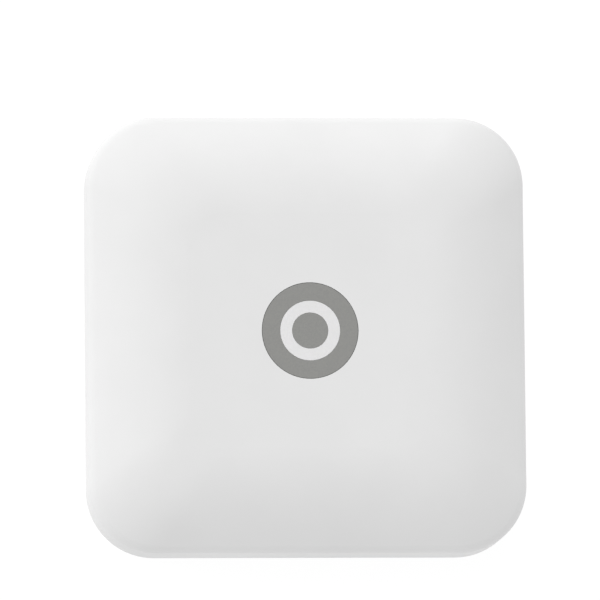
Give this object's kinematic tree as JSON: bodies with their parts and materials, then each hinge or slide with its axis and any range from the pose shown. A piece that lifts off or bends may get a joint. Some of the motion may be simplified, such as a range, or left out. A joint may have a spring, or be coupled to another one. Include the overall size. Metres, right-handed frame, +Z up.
{
  "type": "smart home hub",
  "caption": "White pillow-shaped smart home hub on rubber feet, with network, USB and power sockets and two buttons in its rear wall and a round light badge on top.",
  "frame": {"origin": "on the table, under the middle of the case", "axes": "+Z up, +Y towards the rear wall with the sockets, +X to the right seen from the front"},
  "size_m": [0.126, 0.126, 0.031],
  "materials": {
    "case_white": "fine moulded satin",
    "base_white": "fine moulded matt",
    "foot_rubber": "matt grey",
    "badge_grey": "printed grey",
    "lens_milky": "milky, lets light through",
    "label_film": "blank silver-grey film",
    "screw_zinc": "zinc plated",
    "reflector_white": "bright matt white",
    "led_package": "clear resin over phosphor",
    "board_green": "solder mask over glass fibre",
    "module_board_blue": "solder mask over glass fibre",
    "chip_black": "moulded epoxy",
    "thermal_grey": "soft filled silicone",
    "fin_aluminium": "extruded",
    "ferrite_grey": "pressed ferrite",
    "can_aluminium": "drawn can",
    "crystal_can": "nickel plated",
    "ceramic_chips": "fired ceramic",
    "shield_tin": "tin plated",
    "jack_black": "moulded nylon",
    "usb_steel": "nickel plated",
    "usb_black": "moulded nylon",
    "contact_gold": "gold plated",
    "pin_nickel": "nickel plated",
    "button_grey": "moulded satin",
    "switch_black": "moulded nylon",
    "plunger_white": "moulded nylon",
    "antenna_film": "black film over copper",
    "lead_jacket": "thin fluoropolymer jacket"
  },
  "bodies": {
    "hub": {"badge_centre": "badge_grey", "badge_ring": "badge_grey", "base_cover": "base_white", "board_passives": "ceramic_chips", "board_screws": "screw_zinc", "case_screws": "screw_zinc", "clock_crystal": "crystal_can", "ethernet_contacts": "contact_gold", "ethernet_housing": "jack_black", "ethernet_shield": "shield_tin", "flash_chip": "chip_black", "foot_front_left": "foot_rubber", "foot_front_right": "foot_rubber", "foot_rear_left": "foot_rubber", "foot_rear_right": "foot_rubber", "heat_sink": "fin_aluminium", "light_funnel": "reflector_white", "main_board": "board_green", "main_processor": "chip_black", "memory_chip": "chip_black", "network_transformer": "chip_black", "pair_switch_body": "switch_black", "power_capacitors": "can_aluminium", "power_inductor": "ferrite_grey", "power_jack_housing": "jack_black", "power_jack_pin": "pin_nickel", "power_jack_spring": "pin_nickel", "rating_label": "label_film", "reset_switch_body": "switch_black", "status_led": "led_package", "status_lens": "lens_milky", "thermal_pad": "thermal_grey", "top_cover": "case_white", "usb_contacts": "contact_gold", "usb_shell": "usb_steel", "usb_tongue": "usb_black", "wifi_antenna": "antenna_film", "wifi_lead": "lead_jacket", "wifi_lead_plug": "contact_gold", "wifi_radio_board": "module_board_blue", "wifi_radio_shield": "shield_tin", "zigbee_antenna": "antenna_film", "zigbee_lead": "lead_jacket", "zigbee_lead_plug": "contact_gold", "zigbee_radio_board": "module_board_blue", "zigbee_radio_shield": "shield_tin"},
    "pair_button": {"pair_button_cap": "button_grey", "pair_switch_plunger": "plunger_white"},
    "reset_plunger": {"reset_switch_plunger": "plunger_white"}
  },
  "joints": [
    {"name": "pair_button_press", "type": "slide", "parent": "hub", "child": "pair_button", "axis": [0, -1, 0], "range_m": [0, 0.0004], "stiffness_N_per_m": 4000},
    {"name": "reset_press", "type": "slide", "parent": "hub", "child": "reset_plunger", "axis": [0, -1, 0], "range_m": [0, 0.00025], "stiffness_N_per_m": 6000}
  ]
}
